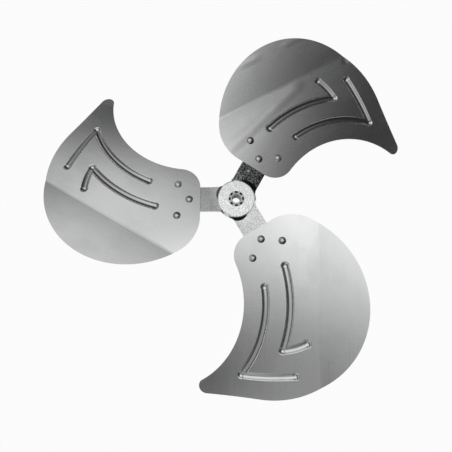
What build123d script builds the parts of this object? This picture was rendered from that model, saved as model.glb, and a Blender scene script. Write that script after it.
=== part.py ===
from build123d import *
from math import asin, atan2, cos, degrees, hypot, radians, sin, sqrt, tan
import os

# Three-bladed 24 in pedestal fan blade: aluminium blades riveted to a pressed steel spider with a
# staked hub. +Z is the bore axis and points to the air side, which is the side that shows. The
# origin lies on the bore axis, in the front face of the spider's raised centre. All sizes in mm.
# An arm's own frame has X out along the arm, Y counter-clockwise and Z to the front.
swept_diameter = 609.6
blade_count = 3
first_arm_angle = 60.0

# Blade sheet
sheet = 1.6
pitch_angle = 11.0
droop_angle = 1.3
camber_radius = 1050.0
blade_front_z = -0.3

# Blade outline in an arm's frame, seen along the bore axis, as a chain of tangent arcs
belly_inner_radius = 19.8
belly_angle = -16.5
root_edge_x = 54.4
heel_y = 26.8
lobe_radius = 33.0
lobe_y = -18.0
throat_radius = 149.0
tip_radius = 11.5
tip_angle = -40.0
hollow_radius = 900.0

# Flap bent up beyond a straight crease
crease_angle = 30.3
crease_distance = 82.0
flap_bend = 10.5
crease_radius = 18.0

# Pressed V beads, sunk from the front and proud behind
bead_width = 10.5
bead_depth = 2.6
bead_end_swell = 0.5
bead_rim_radius = 1.5
bead_offsets = (32.0, 67.0)
bead_start_angles = (67.2, 74.4)
bead_corner_angles = (22.5, 41.2)
bead_short_lengths = (78.0, 36.0)
bead_short_angles = (62.8, 78.0)
bead_short_bows = (2.0, 2.0)

# Rivets through blade and arm
rivet_diameter = 6.35
rivet_head_diameter = 11.4
rivet_head_height = 3.3
rivet_tail_diameter = 10.6
rivet_tail_height = 2.4
rivet_tail_chamfer = 1.0
rivet_inner_x = 71.1
rivet_outer_x = 88.9
rivet_outer_y = 25.4
rivet_hole_clearance = 0.1
rivet_seat_gap = 0.02

# Spider
plate = 3.2
centre_radius = 27.8
centre_skirt_radius = 30.2
centre_skirt_depth = 6.5
centre_rim_radius = 1.2
arm_width = 39.0
arm_fillet = 9.0
twist_start_x = 22.0
twist_end_x = 40.0
twist_start_step = 3.0
pad_start_x = 60.0
pad_full_x = 80.0
pad_end_x = 102.0
pad_width = 71.0
pad_corner = 9.0

# Hub, staked through the spider, and its set screw
bore_diameter = 12.7
hub_diameter = 31.75
hub_length = 25.4
spigot_diameter = 24.0
spigot_proud = 0.4
hub_fit_clearance = 0.05
hub_seat_gap = 0.02
hub_chamfer = 1.0
bore_chamfer = 0.3
stake_count = 8
stake_radius = 10.0
stake_width = 4.2
stake_height = 3.0
stake_depth = 1.4
stake_corner = 0.8
screw_diameter = 7.94
screw_length = 8.6
screw_z = -15.0
screw_angle = 120.0
screw_inset = 0.3
screw_clearance = 0.1
screw_socket = 3.97
screw_socket_depth = 4.0
screw_chamfer = 0.7

swept_radius = swept_diameter / 2
reach = swept_radius * 2
arm_angles = [first_arm_angle + 360 / blade_count * k for k in range(blade_count)]
blade_place = Location((rivet_inner_x, 0, blade_front_z)) * Rot(X=pitch_angle) * Rot(Y=droop_angle)


def polar(radius, angle):
    return Vector(radius * cos(radians(angle)), radius * sin(radians(angle)))


def tangent_centre(first, first_distance, second, second_distance):
    """Point at the given distances from two centres, on the left of the way from first to second."""
    way = second - first
    along = (first_distance**2 - second_distance**2 + way.length**2) / (2 * way.length)
    across = sqrt(first_distance**2 - along**2)
    unit = way.normalized()
    return first + unit * along + Vector(-unit.Y, unit.X) * across


def arc_between(centre, radius, start, end, turn):
    """Arc about centre from start to end, where turn is 1 counter-clockwise and -1 clockwise."""
    first = atan2(start.Y - centre.Y, start.X - centre.X)
    last = atan2(end.Y - centre.Y, end.X - centre.X)
    sweep_angle = ((last - first) * turn) % radians(360)
    middle = degrees(first + turn * sweep_angle / 2)
    return ThreePointArc(start, centre + polar(radius, middle), end)


def toward(centre, target, distance):
    return centre + (target - centre).normalized() * distance


# Centres of the outline's arcs. The belly spans from its inner radius to the swept circle, which the
# tip touches too. The heel touches the belly and the straight root edge.
belly_radius = (swept_radius - belly_inner_radius) / 2
belly = polar(swept_radius - belly_radius, belly_angle)
tip = polar(swept_radius - tip_radius, tip_angle)
lobe = Vector(root_edge_x + lobe_radius, lobe_y)
root_inset = belly.X - root_edge_x
heel_rise = heel_y - belly.Y
heel_radius = (belly_radius**2 - root_inset**2 - heel_rise**2) / (2 * (belly_radius - root_inset))
heel = Vector(root_edge_x + heel_radius, heel_y)
throat = tangent_centre(tip, throat_radius + tip_radius, lobe, throat_radius + lobe_radius)
hollow = tangent_centre(belly, belly_radius + hollow_radius, tip, hollow_radius + tip_radius)


def blade_outline():
    """Plan outline: belly, heel, straight root edge, lobe, throat, tip and a slightly hollow edge."""
    hollow_belly = toward(belly, hollow, belly_radius)
    belly_heel = toward(belly, heel, belly_radius)
    heel_root = heel - Vector(heel_radius, 0)
    root_lobe = lobe - Vector(lobe_radius, 0)
    lobe_throat = toward(lobe, throat, lobe_radius)
    throat_tip = toward(tip, throat, tip_radius)
    tip_hollow = toward(tip, hollow, tip_radius)
    edges = [
        arc_between(belly, belly_radius, hollow_belly, belly_heel, 1),
        arc_between(heel, heel_radius, belly_heel, heel_root, 1),
        Line(heel_root, root_lobe),
        arc_between(lobe, lobe_radius, root_lobe, lobe_throat, 1),
        arc_between(throat, throat_radius, lobe_throat, throat_tip, -1),
        arc_between(tip, tip_radius, throat_tip, tip_hollow, 1),
        arc_between(hollow, hollow_radius, tip_hollow, hollow_belly, -1),
    ]
    return make_face(edges)


def cambered_slab(top, bottom):
    """Slab curved about the arm's direction, from top to bottom below the sheet's front face."""
    half = reach
    drop = camber_radius - sqrt(camber_radius**2 - half**2)
    profile = [
        ThreePointArc((-half, -top - drop), (0, -top), (half, -top - drop)),
        Line((half, -top - drop), (half, -bottom - drop)),
        ThreePointArc((half, -bottom - drop), (0, -bottom), (-half, -bottom - drop)),
        Line((-half, -bottom - drop), (-half, -top - drop)),
    ]
    return extrude(Plane.YZ * make_face(profile), reach, both=True)


def crease_lines(body, crease):
    """Long edges of the body that lie in the crease's plane, the front one first."""
    lines = [e for e in body.edges() if e.length > swept_radius / 2]
    lines = [e for e in lines if abs((e @ 0.5 - crease.origin).dot(crease.z_dir)) < 0.01]
    return sorted(lines, key=lambda e: -(e @ 0.5).Z)


def bent_sheet():
    """Cambered sheet with its flap: the cut along the crease is pulled out at the flap's rise."""
    away = Vector(sin(radians(crease_angle)), cos(radians(crease_angle)))
    crease = Plane(origin=away * crease_distance, x_dir=Vector(away.Y, -away.X), z_dir=away)
    panel = split(cambered_slab(0, sheet), bisect_by=crease, keep=Keep.BOTTOM)
    cut = panel.faces().sort_by(Axis(crease.origin, crease.z_dir))[-1]
    rise = tan(radians(flap_bend)) * sin(radians(crease_angle))
    bent = panel + extrude(cut, reach, dir=Vector(1, 0, rise))
    bent = fillet(crease_lines(bent, crease)[0], crease_radius)
    return fillet(crease_lines(bent, crease)[-1], crease_radius + sheet)


def bead_legs():
    """Plan centre lines of each V bead: a long leg that follows the throat and a bowed short leg."""
    beads = []
    for index, offset in enumerate(bead_offsets):
        radius = throat_radius + offset
        start = throat + polar(radius, bead_start_angles[index])
        corner = throat + polar(radius, bead_corner_angles[index])
        long_leg = arc_between(throat, radius, start, corner, -1)
        end = corner + polar(bead_short_lengths[index], bead_short_angles[index])
        bow = polar(bead_short_bows[index], bead_short_angles[index] - 90)
        beads.append((long_leg, ThreePointArc(corner, (corner + end) / 2 + bow, end)))
    return beads


def on_front(point):
    """The point of the sheet's cambered front face that lies over a plan point."""
    place = Plane(blade_place)
    raised = Vector(point.X, point.Y)
    for _ in range(5):
        local = place.to_local_coords(raised)
        sag = camber_radius - sqrt(camber_radius**2 - local.Y**2)
        raised -= Vector(0, 0, (local.Z + sag) / place.z_dir.Z)
    return raised


def bead_rods(radius, lift):
    """One V-shaped rod of a radius along each bead, with ball ends, lifted off the front face."""
    up = Plane(blade_place).z_dir * lift
    rods = []
    for legs in bead_legs():
        paths = [ThreePointArc(*(on_front(leg @ part) + up for part in (0, 0.5, 1))) for leg in legs]
        rod = Pos(paths[0] @ 1) * Sphere(radius + bead_end_swell)
        for path, end in zip(paths, (0, 1)):
            rod += sweep(Plane(path @ 0, z_dir=path % 0) * Circle(radius), path)
            rod += Pos(path @ end) * Sphere(radius + bead_end_swell)
        rods.append(rod)
    return rods


def rivet_places():
    """Rivet axes in an arm's frame, square to the sheet, each at its place on the front face."""
    places = {}
    for name, x, y in (
        ("inner", 0, 0),
        ("leading", rivet_outer_x - rivet_inner_x, -rivet_outer_y),
        ("trailing", rivet_outer_x - rivet_inner_x, rivet_outer_y),
    ):
        lean = degrees(-y / camber_radius)
        drop = camber_radius - sqrt(camber_radius**2 - y**2)
        places[name] = blade_place * Pos(x, y, -drop) * Rot(X=lean)
    return places


def rivet_holes():
    hole = Cylinder((rivet_diameter + rivet_hole_clearance) / 2, 6 * (sheet + plate))
    return [place * hole for place in rivet_places().values()]


def blade():
    """One blade in its arm's frame: bent sheet, trimmed to the outline, with beads and holes."""
    groove_radius = (bead_width**2 / 4 + bead_depth**2) / (2 * bead_depth)
    lift = groove_radius - bead_depth
    body = (blade_place * bent_sheet()) & extrude(blade_outline(), reach, both=True)
    below = blade_place * cambered_slab(sheet / 2, swept_radius / 4)
    body += [rod & below for rod in bead_rods(groove_radius + sheet, lift)]
    for rod in bead_rods(groove_radius, lift):
        body -= rod
    facing = body.faces().filter_by(lambda face: face.normal_at(face.center()).Z > 0)
    panel = facing.sort_by(SortBy.AREA)[-1]
    body = fillet([edge for rim in panel.inner_wires() for edge in rim.edges()], bead_rim_radius)
    return body - rivet_holes()


def rivet():
    """Rivet about its own axis, z = 0 on the sheet's front face: domed head, shank, driven tail."""
    head_radius = rivet_head_diameter / 2
    dome_radius = (head_radius**2 + rivet_head_height**2) / (2 * rivet_head_height)
    dome_centre = Vector(0, rivet_seat_gap + rivet_head_height - dome_radius)
    rim_angle = degrees(asin(head_radius / dome_radius))
    top = dome_centre + polar(dome_radius, 90)
    rim = Vector(head_radius, rivet_seat_gap)
    dome = [
        ThreePointArc(top, dome_centre + polar(dome_radius, 90 - rim_angle / 2), rim),
        Line(rim, (0, rivet_seat_gap)),
        Line((0, rivet_seat_gap), top),
    ]
    head = revolve(Plane.XZ * make_face(dome), Axis.Z)
    tail_top = -(sheet + plate + rivet_seat_gap)
    hang = (Align.CENTER, Align.CENTER, Align.MAX)
    tail = Pos(0, 0, tail_top) * Cylinder(rivet_tail_diameter / 2, rivet_tail_height, align=hang)
    tail = chamfer(tail.edges().filter_by(GeomType.CIRCLE).sort_by(Axis.Z)[0], rivet_tail_chamfer)
    shank_length = rivet_seat_gap - tail_top
    shank = Pos(0, 0, rivet_seat_gap) * Cylinder(rivet_diameter / 2, shank_length, align=hang)
    return head + shank + tail


def spider_outline():
    """Plan of the plate: round centre, filleted arms and the wide pads that carry the rivets."""
    arm = Pos(pad_start_x / 2, 0) * Rectangle(pad_start_x, arm_width)
    side = [(pad_start_x, arm_width / 2), (pad_full_x, pad_width / 2), (pad_end_x, pad_width / 2)]
    pad = make_face(Polyline(*side, *[(x, -y) for x, y in reversed(side)], close=True))
    corners = [v for v in pad.vertices() if v.X > pad_start_x + 1]
    one_arm = arm + fillet(corners, pad_corner)
    plan = Circle(centre_skirt_radius) + [Rot(Z=angle) * one_arm for angle in arm_angles]
    roots = [v for v in plan.vertices() if hypot(v.X, v.Y) < centre_skirt_radius + 1]
    return fillet(roots, arm_fillet)


def spider_arm():
    """One arm in its own frame: pitched, cambered like the blade, and twisted down to the centre."""
    beyond = Plane.YZ.offset(twist_end_x)
    pitched = split(blade_place * cambered_slab(sheet, sheet + plate), bisect_by=beyond, keep=Keep.TOP)
    pitched &= Pos(pad_end_x / 2, 0, 0) * Box(2 * pad_end_x, 2 * pad_width, reach)
    end = pitched.faces().sort_by(Axis.X)[0]
    half = pad_width
    slope = twist_start_step / arm_width
    middle = -twist_start_step / 2
    start = Plane.YZ.offset(twist_start_x) * make_face(
        Polyline(
            (half, middle + slope * half), (-half, middle - slope * half),
            (-half, middle - slope * half - plate), (half, middle + slope * half - plate), close=True,
        )
    )
    return pitched + loft([start, end])


def spider():
    """Pressed plate: dished centre raised above the arms, three arms, hub and rivet holes."""
    inner_skirt = centre_skirt_radius - plate
    inner_top = centre_radius - plate
    dish = revolve(
        Plane.XZ
        * make_face(
            Polyline(
                (0, 0), (centre_radius, 0), (centre_skirt_radius, -centre_skirt_depth),
                (inner_skirt, -centre_skirt_depth), (inner_top, -plate), (0, -plate), close=True,
            )
        ),
        Axis.Z,
    )
    rim = [e for e in dish.edges() if abs((e @ 0).Z) < 0.01 and e.length > centre_radius]
    dish = fillet(rim, centre_rim_radius)
    dished_out = Pos(0, 0, pad_width / 2 - plate) * Cylinder(inner_skirt - 0.2, pad_width)
    arm = spider_arm() - rivet_holes() - dished_out
    body = dish + [Rot(Z=angle) * arm for angle in arm_angles]
    body &= extrude(spider_outline(), reach, both=True)
    return body - Cylinder(spigot_diameter / 2 + hub_fit_clearance, reach)


def hub():
    """Turned hub: barrel behind the spider, spigot through it, staked over at the front."""
    stand = (Align.CENTER, Align.CENTER, Align.MIN)
    rear_z = spigot_proud - hub_length
    seat_z = -plate - hub_seat_gap
    barrel = Pos(0, 0, rear_z) * Cylinder(hub_diameter / 2, seat_z - rear_z, align=stand)
    spigot = Pos(0, 0, rear_z) * Cylinder(spigot_diameter / 2, hub_length, align=stand)
    body = chamfer(barrel.edges().filter_by(GeomType.CIRCLE).sort_by(Axis.Z)[0], hub_chamfer)
    body = body + spigot - Cylinder(bore_diameter / 2, reach)
    rounds = body.edges().filter_by(GeomType.CIRCLE)
    mouths = rounds.filter_by(lambda edge: edge.radius < bore_diameter / 2 + 0.01)
    body = chamfer(mouths, bore_chamfer)
    mark = fillet(Rectangle(stake_width, stake_height).vertices(), stake_corner)
    mark = extrude(mark, -stake_depth - spigot_proud)
    for index in range(stake_count):
        body -= Rot(Z=360 / stake_count * index) * Pos(0, stake_radius, spigot_proud) * mark
    hole = Cylinder((screw_diameter + screw_clearance) / 2, hub_diameter, align=stand)
    return body - screw_place * hole


def set_screw():
    """Socket set screw, just below the barrel's face, on its own axis with z = 0 at the bore axis."""
    outer = hub_diameter / 2 - screw_inset
    body = Pos(0, 0, outer) * Cylinder(
        screw_diameter / 2, screw_length, align=(Align.CENTER, Align.CENTER, Align.MAX)
    )
    body = chamfer(body.edges().filter_by(GeomType.CIRCLE), screw_chamfer)
    socket = Pos(0, 0, outer - screw_socket_depth) * extrude(
        RegularPolygon(screw_socket / 2, 6, major_radius=False), 2 * screw_socket_depth
    )
    return body - socket


os.makedirs("parts", exist_ok=True)
screw_place = Pos(0, 0, screw_z) * Rot(Z=screw_angle) * Rot(Y=90)
nodes = {"spider": spider(), "hub": hub(), "set_screw": screw_place * set_screw()}
one_blade = blade()
for number, arm_angle in enumerate(arm_angles, 1):
    turn = Rot(Z=arm_angle)
    nodes[f"blade_{number}"] = turn * one_blade
    for place_name, place in rivet_places().items():
        nodes[f"rivet_{number}_{place_name}"] = turn * place * rivet()
for name, body in nodes.items():
    export_step(body, f"parts/{name}.step")
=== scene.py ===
from math import cos, radians, sin

import bpy
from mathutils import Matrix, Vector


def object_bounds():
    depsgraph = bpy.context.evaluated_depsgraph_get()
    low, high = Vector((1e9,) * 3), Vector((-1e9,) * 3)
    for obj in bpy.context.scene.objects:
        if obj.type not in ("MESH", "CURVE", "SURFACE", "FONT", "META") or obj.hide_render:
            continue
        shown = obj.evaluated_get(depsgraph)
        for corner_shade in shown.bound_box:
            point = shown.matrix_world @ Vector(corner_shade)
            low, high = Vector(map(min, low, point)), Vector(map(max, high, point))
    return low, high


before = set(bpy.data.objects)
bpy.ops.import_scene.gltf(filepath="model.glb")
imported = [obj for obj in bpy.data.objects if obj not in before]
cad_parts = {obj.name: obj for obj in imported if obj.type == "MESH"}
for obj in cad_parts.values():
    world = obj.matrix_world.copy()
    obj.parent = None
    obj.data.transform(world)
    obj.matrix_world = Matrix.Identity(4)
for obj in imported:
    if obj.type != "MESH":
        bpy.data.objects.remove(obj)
cad_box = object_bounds()

# Blades: mill-finish aluminium sheet, pressed and bent, one on each arm of the spider. Rolling left
# a faint grain along the crease, and handling left soft clouds, smudges and hairline scratches.
# The beads are darkened with painted shade, most of it on one side of each bead.
arm_angles = {1: 60.0, 2: 180.0, 3: 300.0}
crease_angle = -30.3
root_rivet = (0.0711, 0, -0.0003)
blade_turn = (radians(11.0), radians(1.3), 0)  # pitch, droop
camber_radius = 1.05
sheet_light = (0.90, 0.905, 0.91, 1)
sheet_dull = (0.80, 0.805, 0.81, 1)
# Painted shade colour, for the bead grooves and the crescents on the rivet heads.
painted_shade_dark = (0.05, 0.05, 0.05, 1)
cloud_scale = 9.0
grain_scale = 60.0
scratch_scale = 40.0
scratched = (0.66, 0.74)
pore_scale = 900.0
smudge_scale = 28.0
smudged = (0.45, 0.75)
sheet_roughness = 0.20
sheet_relief = 0.0004
shaded_depth = (0.0003, 0.0014)
bead_painted_shade = {
    # direction that the shaded side of a bead faces, painted shade on that side, painted shade all
    # along the groove
    1: (340.0, 0.35, 0.22),
    2: (59.0, 0.42, 0.18),
    3: (10.0, 0.30, 0.0),
}
buckled_blade = 1
buckle_across = (0.273, 0.962, 0)
buckle_offset = 0.060
buckle_width = 0.013
buckle_start = (0.03, 0.08)
buckle_end = (0.225, 0.200)
press_mark_offset = 0.1695
press_mark_width = 0.007
press_mark_ends = ((0.095, 0.150), (0.175, 0.232))
press_mark_fade = 0.02
dent_place = (0.293, -0.043, 0)
dent_radius = 0.008


class Pattern:
    """A value that changes over a surface, so that shader maths is written as plain expressions."""

    def __init__(self, tree, socket=None):
        self.tree = tree
        self.socket = socket

    def node(self, kind, settings=None, inputs=None, output=0):
        """A new node of the same material: settings first, then each socket's value or pattern."""
        made = self.tree.nodes.new("ShaderNode" + kind)
        for name, value in (settings or {}).items():
            setattr(made, name, value)
        for key, value in (inputs or {}).items():
            if isinstance(value, Pattern):
                self.tree.links.new(value.socket, made.inputs[key])
            else:
                made.inputs[key].default_value = value
        return Pattern(self.tree, made.outputs[output])

    def math(self, operation, first, second):
        return self.node("Math", {"operation": operation}, {0: first, 1: second})

    def __add__(self, other):
        return self.math("ADD", self, other)

    def __mul__(self, other):
        return self.math("MULTIPLY", self, other)

    def __sub__(self, other):
        return self.math("SUBTRACT", self, other)

    def __rsub__(self, other):
        return self.math("SUBTRACT", other, self)

    __radd__ = __add__
    __rmul__ = __mul__

    def turned(self, angle):
        """The same coordinates, turned about the bore axis by an angle in degrees."""
        return self.node("Mapping", {}, {"Vector": self, "Rotation": (0, 0, radians(angle))})

    def within(self, inputs):
        """Coordinates in a frame that is given by its own location, rotation and scale."""
        return self.node("Mapping", {"vector_type": "TEXTURE"}, {"Vector": self} | inputs)

    def noise(self, scale, detail=3.0, stretch=(1, 1, 1)):
        """Soft noise from 0 to 1 on the coordinates that this pattern holds."""
        place = self.node("Mapping", {}, {"Vector": self, "Scale": stretch})
        return self.node("TexNoise", {}, {"Vector": place, "Scale": scale, "Detail": detail})

    def step(self, start, end):
        """0 up to start, 1 from end on, with a smooth way between them."""
        limits = {"Value": self, "From Min": start, "From Max": end}
        return self.node("MapRange", {"interpolation_type": "SMOOTHSTEP"}, limits)

    def band(self, width):
        """1 where this pattern is 0, fading out to 0 at the width on both sides."""
        return self.node("Math", {"operation": "ABSOLUTE"}, {0: self}).step(width, 0)

    def dot(self, direction):
        return self.node("VectorMath", {"operation": "DOT_PRODUCT"}, {0: self, 1: direction}, 1)

    def distance(self, place):
        """Distance from a place as seen along the bore axis."""
        flat = self.node("VectorMath", {"operation": "MULTIPLY"}, {0: self, 1: (1, 1, 0)})
        return self.node("VectorMath", {"operation": "DISTANCE"}, {0: flat, 1: place}, 1)

    def clamp(self):
        return self.node("Clamp", {}, {0: self})

    def colour(self, first, second):
        """First colour where this pattern is 0, second where it is 1."""
        return self.node("Mix", {"data_type": "RGBA"}, {0: self, 6: first, 7: second}, 2)


def heading(angle, length=1.0):
    """A step square to the bore axis, in a direction that is given in degrees."""
    return (length * cos(radians(angle)), length * sin(radians(angle)), 0)


def metal(name, turn):
    """A new metal, its surface coordinates turned about the bore axis, and a way to finish it."""
    material = bpy.data.materials.new(name)
    material.use_nodes = True
    tree = material.node_tree
    coordinates = Pattern(tree).node("TexCoord", {}, {}, "Object")

    def finish(colour, roughness, height, relief):
        shader = tree.nodes["Principled BSDF"]
        shader.inputs["Metallic"].default_value = 1.0
        bump = height.node("Bump", {}, {"Height": height, "Strength": 1.0, "Distance": relief})
        for key, pattern in (("Base Color", colour), ("Roughness", roughness), ("Normal", bump)):
            tree.links.new(pattern.socket, shader.inputs[key])
        return material

    return coordinates.turned(turn), finish


def assign(node, material):
    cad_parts[node].material_slots[0].material = material


for number, arm_angle in arm_angles.items():
    along, finish = metal(f"aluminium_sheet_{number}", -arm_angle)
    rolled = along.turned(-crease_angle)
    clouds = rolled.noise(cloud_scale, detail=4.0)
    grain = rolled.noise(grain_scale, stretch=(0.05, 9.0, 1.0))
    scratches = rolled.noise(scratch_scale, detail=2.0, stretch=(0.05, 30.0, 1.0))
    scratches = scratches.step(*scratched)
    pores = rolled.noise(pore_scale, detail=2.0)
    smudges = rolled.noise(smudge_scale, detail=5.0, stretch=(0.5, 1.0, 1.0)).step(*smudged)
    polish = (clouds * 0.5 + grain * 0.4 + pores * 0.2 - smudges * 0.3).clamp()
    roughness = sheet_roughness + clouds * 0.08 + grain * 0.04 - scratches * 0.05 + smudges * 0.05
    height = clouds * 1.5 + grain * 0.04 + pores * 0.02
    # Painted shade: dark where the front face is lower than the cambered sheet, most on one side of
    # each bead.
    flat = along.within({"Location": root_rivet, "Rotation": blade_turn})
    across = flat.dot((0, 1, 0))
    depth = (flat.dot((0, 0, 1)) + across * across * (0.5 / camber_radius)) * -1.0
    normal = along.node("TexCoord", {}, {}, "Normal")
    front = normal.dot((0, 0, 1)).step(0.1, 0.2)
    shaded_side, side_shade, groove_shade = bead_painted_shade[number]
    facing = normal.dot(heading(shaded_side)).step(0.08, 0.35)
    painted_shade = depth.step(*shaded_depth) * front * (facing * side_shade + groove_shade)
    colour = painted_shade.colour(polish.colour(sheet_dull, sheet_light), painted_shade_dark)
    if number == buckled_blade:
        # It is a little buckled beside its crease, its flap has two press marks, and it has a dent
        # where the crease runs out.
        outward = along.dot((1, 0, 0))
        buckle = (along.dot(buckle_across) - buckle_offset).band(buckle_width)
        reach = outward.step(*buckle_start) * outward.step(*buckle_end)
        height = height + buckle * reach * 1.1
        lengthwise = rolled.dot((1, 0, 0))
        press_mark = (rolled.dot((0, 1, 0)) - press_mark_offset).band(press_mark_width)
        for start, end in press_mark_ends:
            reach = lengthwise.step(start, start + press_mark_fade)
            reach = reach * lengthwise.step(end, end - press_mark_fade)
            height = height + press_mark * reach * 0.7
        height = height - along.distance(dent_place).step(dent_radius, 0.0) * 1.5
    assign(f"blade_{number}", finish(colour, roughness, height, sheet_relief))

# Rivets: solid aluminium, three to a blade. The domed heads are satin from the driving set, and a
# painted shade crescent darkens one side of each head, another side on each blade.
rivet_places = {"inner": (0.0711, 0.0), "leading": (0.0889, -0.0254), "trailing": (0.0889, 0.0254)}
rivet_painted_shade = {
    # direction of the painted shade crescent, strength
    1: (-8.0, 0.92),
    2: (88.0, 0.80),
    3: (-75.0, 0.70),
}
dimple_scale = 500.0
unshaded_radius = 0.0054
unshaded_shift = 0.0026
unshaded_edge = (-0.0002, 0.0004)
pitch_slope = 0.19
head_side = (-0.004, -0.003)
head_light = (0.95, 0.955, 0.96, 1)
head_tone = 0.95
head_roughness = 0.36
head_relief = 0.0001
for number, arm_angle in arm_angles.items():
    shade_angle, shade_strength = rivet_painted_shade[number]
    shift = heading(shade_angle + 180 - arm_angle, unshaded_shift)
    for place, (out, side) in rivet_places.items():
        along, finish = metal(f"aluminium_rivet_{number}_{place}", -arm_angle)
        dimples = along.noise(dimple_scale, detail=2.0)
        # Painted shade: a dark crescent on the head, outside a circle shifted away from the shaded
        # side.
        from_unshaded_centre = along.distance((out + shift[0], side + shift[1], 0))
        painted_shade = from_unshaded_centre.step(unshaded_radius + unshaded_edge[0], unshaded_radius + unshaded_edge[1])
        front = along.dot((0, 0, 1)) + along.dot((0, 1, 0)) * -pitch_slope
        painted_shade = painted_shade * front.step(*head_side)
        tone = head_tone - dimples * 0.15 - painted_shade * shade_strength
        colour = tone.colour(painted_shade_dark, head_light)
        satin = finish(colour, head_roughness + dimples * 0.08, dimples, head_relief)
        assign(f"rivet_{number}_{place}", satin)

# Spider: 3.2 mm steel plate, pressed and then hot-dip galvanised, so that fine zinc crystals cover
# it. The centre is bright. Each arm carries its own painted light and shade: the first arm is
# painted dark and is mottled, the second a little darker, the third a touch lighter. The first arm
# has a painted highlight, and painted shade darkens the deep corners beside the raised centre.
# Dark end of the zinc tone, also the colour of the painted shade on the spider.
zinc_spangle_and_shade_dark = (0.012, 0.012, 0.013, 1)
zinc_light = (0.95, 0.955, 0.96, 1)
zinc_tone = 0.96
crystal_scale = 750.0
speck_scale = 520.0
patch_scale = 90.0
arm_shade = {1: 0.67, 2: 0.10, 3: -0.03}
arm_mottle = {1: 0.75, 2: 0.08, 3: 0.42}
arm_start = (0.012, 0.014)
centre_radius = 0.0278
centre_edge = 0.001
shaded_corners = [
    # direction, distance and radius of the circle whose part beyond the centre gets painted shade,
    # strength
    (36.0, 0.0150, 0.0205, 1.0),
    (153.0, 0.0158, 0.0166, 0.85),
    (223.0, 0.0232, 0.0071, 0.95),
    (275.0, 0.0172, 0.0166, 1.0),
]
corner_shade_edge = 0.0008
highlight_place = (0.019, 0.0426, 0)
highlight_edge = (0.0022, 0.0012)
crystal_relief = 0.00008
along, finish = metal("galvanised_steel", 0.0)
crystals = along.node("TexVoronoi", {}, {"Vector": along, "Scale": crystal_scale}, "Color")
crystal_tone = crystals.node("SeparateColor", {}, {"Color": crystals}, 0)
crystal_lie = crystals.node("SeparateColor", {}, {"Color": crystals}, 1)
specks = along.noise(speck_scale, detail=2.0).step(0.36, 0.64)
patches = along.noise(patch_scale)
outside = along.distance((0, 0, 0)).step(centre_radius, centre_radius + centre_edge)
tone = zinc_tone - crystal_tone * 0.08 - patches * 0.06
# Painted light and shade, one amount per arm, over the zinc's own mottle.
for number, arm_angle in arm_angles.items():
    on_arm = along.dot(heading(arm_angle)).step(*arm_start) * outside
    mottle = (specks - 0.5) * arm_mottle[number] * 0.5 - patches * 0.12
    tone = tone + on_arm * (mottle - arm_shade[number])
# Painted shade in the deep corners beside the raised centre.
for turn, distance, radius, strength in shaded_corners:
    corner_shade = along.distance(heading(turn, distance)).step(radius, radius - corner_shade_edge) * outside
    tone = tone * (1.0 - corner_shade * strength)
# Painted highlight: a bright spot on the first arm.
painted_highlight = along.distance(highlight_place).step(*highlight_edge)
colour = (tone + painted_highlight * 0.6).clamp().colour(zinc_spangle_and_shade_dark, zinc_light)
height = crystal_lie + patches * 2.0
assign("spider", finish(colour, 0.26 + crystal_lie * 0.14, height, crystal_relief))

# Hub: turned from bar, zinc plated, and staked over the spider by a ring of eight punches. The
# tool left fine rings about the bore axis. Painted shade darkens the punch marks and the bore wall.
plating_stain_and_shade_dark = (0.03, 0.03, 0.03, 1)
zinc_plate_light = (0.85, 0.86, 0.87, 1)
ring_scale = 900.0
stain_scale = 120.0
mark_edge = (0.0002, -0.0002)
mark_floor = (-0.004, -0.003)
bore_edge = (0.0070, 0.0064)
ring_relief = 0.00003
along, finish = metal("zinc_plated_steel", 0.0)
turning = {"wave_type": "RINGS", "rings_direction": "Z"}
rings = along.node("TexWave", turning, {"Vector": along, "Scale": ring_scale}, 1)
stains = along.noise(stain_scale)
sunk = along.dot((0, 0, 1)).step(*mark_edge)
near_front = along.dot((0, 0, 1)).step(*mark_floor)
bore = along.distance((0, 0, 0)).step(*bore_edge)
# Painted shade: the sunk punch marks go fully dark and the bore wall darker; the stains are the
# plating's own.
tone = 0.85 - stains * 0.3 - sunk * near_front - bore * 0.75
colour = tone.clamp().colour(plating_stain_and_shade_dark, zinc_plate_light)
assign("hub", finish(colour, 0.30 + stains * 0.15, rings + stains * 2.0, ring_relief))

# Set screw: black-oxide steel with a hexagon socket, in the hub's cross hole. The oxide is worn
# in soft spots.
black_oxide = (0.05, 0.05, 0.055, 1)
black_worn = (0.16, 0.16, 0.17, 1)
wear_scale = 400.0
oxide_relief = 0.00005
along, finish = metal("black_oxide_steel", 0.0)
wear = along.noise(wear_scale)
colour = wear.colour(black_oxide, black_worn)
assign("set_screw", finish(colour, 0.40 + wear * 0.15, wear, oxide_relief))

# Floor: a plain pale sheet of board under the blade's tips. It shows white to the camera and in
# the metal, and keeps a soft shadow.
floor_z = cad_box[0][2]
floor_size = 12.0
floor_shadow = 0.05
board_white = (0.9, 0.9, 0.9, 1)
bpy.ops.mesh.primitive_plane_add(size=floor_size, location=(0, 0, floor_z))
floor = bpy.context.object
floor.name = "floor"
board = bpy.data.materials.new("floor")
board.use_nodes = True
tree = board.node_tree
path = tree.nodes.new("ShaderNodeLightPath")
seen = Pattern(tree, path.outputs["Is Camera Ray"]) + Pattern(tree, path.outputs["Is Glossy Ray"])
seen = seen + Pattern(tree, path.outputs["Is Transmission Ray"])
seen = seen.math("MINIMUM", seen, 1.0) * (1 - floor_shadow)
diffuse = seen.node("BsdfDiffuse", {}, {"Color": board_white})
glow = seen.node("Emission", {}, {"Color": (1, 1, 1, 1), "Strength": 1.0})
mix = seen.node("MixShader", {}, {0: seen, 1: diffuse, 2: glow})
tree.links.new(mix.socket, tree.nodes["Material Output"].inputs["Surface"])
floor.data.materials.append(board)

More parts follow.
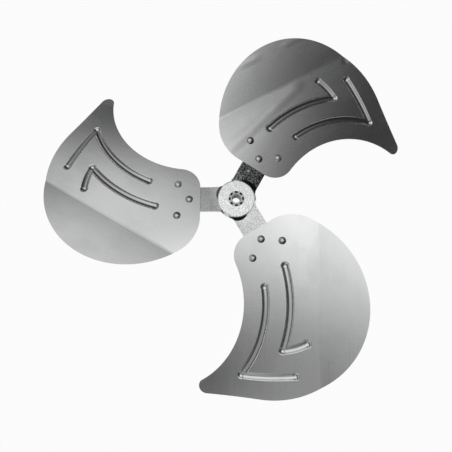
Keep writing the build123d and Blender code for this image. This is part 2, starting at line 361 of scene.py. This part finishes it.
# Studio light: a round softbox over the front that fades towards its edge, a strip light beside it
# and a small one high at the left, in a dim room with a pale wall all round. Each glow is a place
# in the sky and its spread. The camera sees the room white.
glows = [
    # east, north, along, across, turn, strength
    (-0.256, 0.065, 1.06, 0.76, 0.22, 0.81),
    (0.095, -0.056, 0.25, 0.52, -0.28, 0.49),
    (0.353, 0.352, 0.10, 0.21, -0.44, 0.48),
    (-0.413, 0.596, 0.47, 0.30, 0.22, 0.43),
    (-0.499, -0.943, 0.28, 1.46, -1.05, 0.40),
    (0.034, 0.215, 0.16, 0.16, 0.0, 1.10),
]
sheet_shine = 0.85
dark_west = (-0.95, -0.62)
room = 0.04
wall = 0.28
wall_height = (0.20, 0.02)
room_in_view = 0.96
far_up = 1e6
world = bpy.data.worlds.new("studio")
bpy.context.scene.world = world
world.use_nodes = True
tree = world.node_tree
direction = Pattern(tree).node("TexCoord", {}, {}, "Generated")
light = None
for east, north, along, across, turn, strength in glows:
    place = {"Location": (east, north, 0), "Rotation": (0, 0, turn)}
    place = direction.within(place | {"Scale": (along, across, far_up)})
    fade = place.node("TexGradient", {"gradient_type": "SPHERICAL"}, {"Vector": place}, 1)
    limits = {"Value": fade, "To Max": strength / sheet_shine}
    fade = fade.node("MapRange", {"interpolation_type": "SMOOTHSTEP"}, limits)
    light = fade if light is None else light + fade
light = light * direction.dot((1, 0, 0)).step(*dark_west) + room
light = light + direction.dot((0, 0, 1)).step(*wall_height) * wall
path = tree.nodes.new("ShaderNodeLightPath")
in_view = Pattern(tree, path.outputs["Is Camera Ray"])
light = light * (1.0 - in_view) + in_view * room_in_view
background = tree.nodes["Background"]
background.inputs["Color"].default_value = (1, 1, 1, 1)
tree.links.new(light.socket, background.inputs["Strength"])

# Camera: at the photograph's place and angle, square over the hub and a little below it.
photo_width = 452
photo_focal = 300
bpy.ops.object.camera_add(location=(-0.01528, -0.09762, 0.44306))
camera = bpy.context.object
camera.rotation_euler = (radians(7.232), radians(0.193), radians(-0.7))
camera.data.sensor_width = 36.0
camera.data.lens = photo_focal / photo_width * camera.data.sensor_width
bpy.context.scene.camera = camera
bpy.context.scene.view_settings.view_transform = "Standard"
